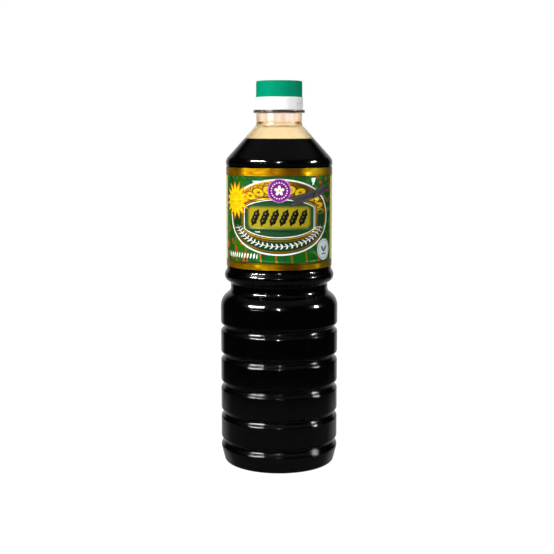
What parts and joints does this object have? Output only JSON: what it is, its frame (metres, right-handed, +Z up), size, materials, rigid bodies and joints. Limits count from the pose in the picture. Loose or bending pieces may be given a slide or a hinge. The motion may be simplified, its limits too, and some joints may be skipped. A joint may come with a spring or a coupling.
{
  "type": "soy sauce bottle",
  "caption": "Clear plastic bottle of dark soy sauce with ring grooves, a waist, a wrapped label, a white spout base and a green cap.",
  "frame": {"origin": "centre of the bottle's foot, on the surface that it stands on", "axes": "+Z up along the bottle's axis; the label's front faces -Y"},
  "size_m": [0.0819, 0.0818, 0.2658],
  "materials": {
    "clear_plastic": "clear blown plastic, glossy",
    "sauce": "dark brown liquid, almost black in depth",
    "label_film": "printed metallic film, gold and green",
    "white_plastic": "satin natural polyethylene",
    "green_plastic": "satin moulded plastic"
  },
  "bodies": {
    "root": {"bottle": "clear_plastic", "sauce": "sauce", "label": "label_film", "spout_base": "white_plastic", "cap": "green_plastic"}
  },
  "joints": []
}
